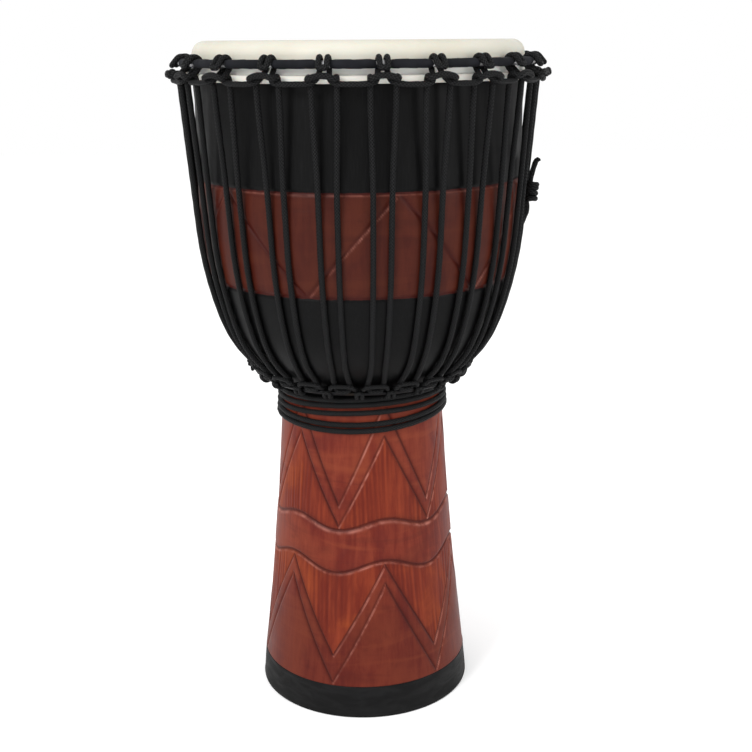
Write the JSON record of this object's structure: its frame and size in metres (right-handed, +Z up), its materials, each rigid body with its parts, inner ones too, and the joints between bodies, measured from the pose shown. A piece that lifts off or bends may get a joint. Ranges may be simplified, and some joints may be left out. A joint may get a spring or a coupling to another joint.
{
  "type": "djembe",
  "caption": "Rope-tuned goblet hand drum with a carved hardwood shell, goatskin head held by two rings, black tension rope and a rubber foot band.",
  "frame": {"origin": "centre of the foot ring on the floor", "axes": "+Z up along the drum's axis to the playing head, -Y the front"},
  "size_m": [0.345, 0.3442, 0.628],
  "materials": {
    "carved_wood": "carved mahogany, red-brown stain with the bowl painted satin black",
    "foot_rubber": "matte black rubber",
    "ring_steel": "plain bent steel rod",
    "ring_cloth": "black cotton strip wound round the crown ring",
    "loop_rope": "black braided polyester rope",
    "tension_rope": "black braided polyester rope",
    "goatskin": "shaved goatskin, cream, dry and taut"
  },
  "bodies": {
    "shell": {"shell": "carved_wood", "foot_band": "foot_rubber", "bottom_ring": "ring_steel", "bottom_hitches": "loop_rope", "neck_wrap_upper": "loop_rope", "neck_wrap_lower": "loop_rope", "side_tie_knot": "tension_rope", "lower_tie_knot": "tension_rope", "tension_rope_01": "tension_rope", "tension_rope_02": "tension_rope", "tension_rope_03": "tension_rope", "tension_rope_04": "tension_rope", "tension_rope_05": "tension_rope", "tension_rope_06": "tension_rope", "tension_rope_07": "tension_rope", "tension_rope_08": "tension_rope", "tension_rope_09": "tension_rope", "tension_rope_10": "tension_rope", "tension_rope_11": "tension_rope", "tension_rope_12": "tension_rope", "tension_rope_13": "tension_rope", "tension_rope_14": "tension_rope", "tension_rope_15": "tension_rope", "tension_rope_16": "tension_rope", "tension_rope_17": "tension_rope", "tension_rope_18": "tension_rope", "tension_rope_19": "tension_rope", "tension_rope_20": "tension_rope", "tension_rope_21": "tension_rope", "tension_rope_22": "tension_rope"},
    "head": {"goatskin_head": "goatskin", "flesh_ring": "ring_steel", "crown_ring": "ring_steel", "crown_ring_wrap": "ring_cloth", "crown_hitch_01": "loop_rope", "crown_hitch_02": "loop_rope", "crown_hitch_03": "loop_rope", "crown_hitch_04": "loop_rope", "crown_hitch_05": "loop_rope", "crown_hitch_06": "loop_rope", "crown_hitch_07": "loop_rope", "crown_hitch_08": "loop_rope", "crown_hitch_09": "loop_rope", "crown_hitch_10": "loop_rope", "crown_hitch_11": "loop_rope", "crown_hitch_12": "loop_rope", "crown_hitch_13": "loop_rope", "crown_hitch_14": "loop_rope", "crown_hitch_15": "loop_rope", "crown_hitch_16": "loop_rope", "crown_hitch_17": "loop_rope", "crown_hitch_18": "loop_rope", "crown_hitch_19": "loop_rope", "crown_hitch_20": "loop_rope", "crown_hitch_21": "loop_rope", "crown_hitch_22": "loop_rope"}
  },
  "joints": [
    {"name": "head_tuning", "type": "slide", "parent": "shell", "child": "head", "axis": [0, 0, -1], "range_m": [0, 0.006], "deforming": ["tension_rope_01", "tension_rope_02", "tension_rope_03", "tension_rope_04", "tension_rope_05", "tension_rope_06", "tension_rope_07", "tension_rope_08", "tension_rope_09", "tension_rope_10", "tension_rope_11", "tension_rope_12", "tension_rope_13", "tension_rope_14", "tension_rope_15", "tension_rope_16", "tension_rope_17", "tension_rope_18", "tension_rope_19", "tension_rope_20", "tension_rope_21", "tension_rope_22", "goatskin_head"]}
  ]
}
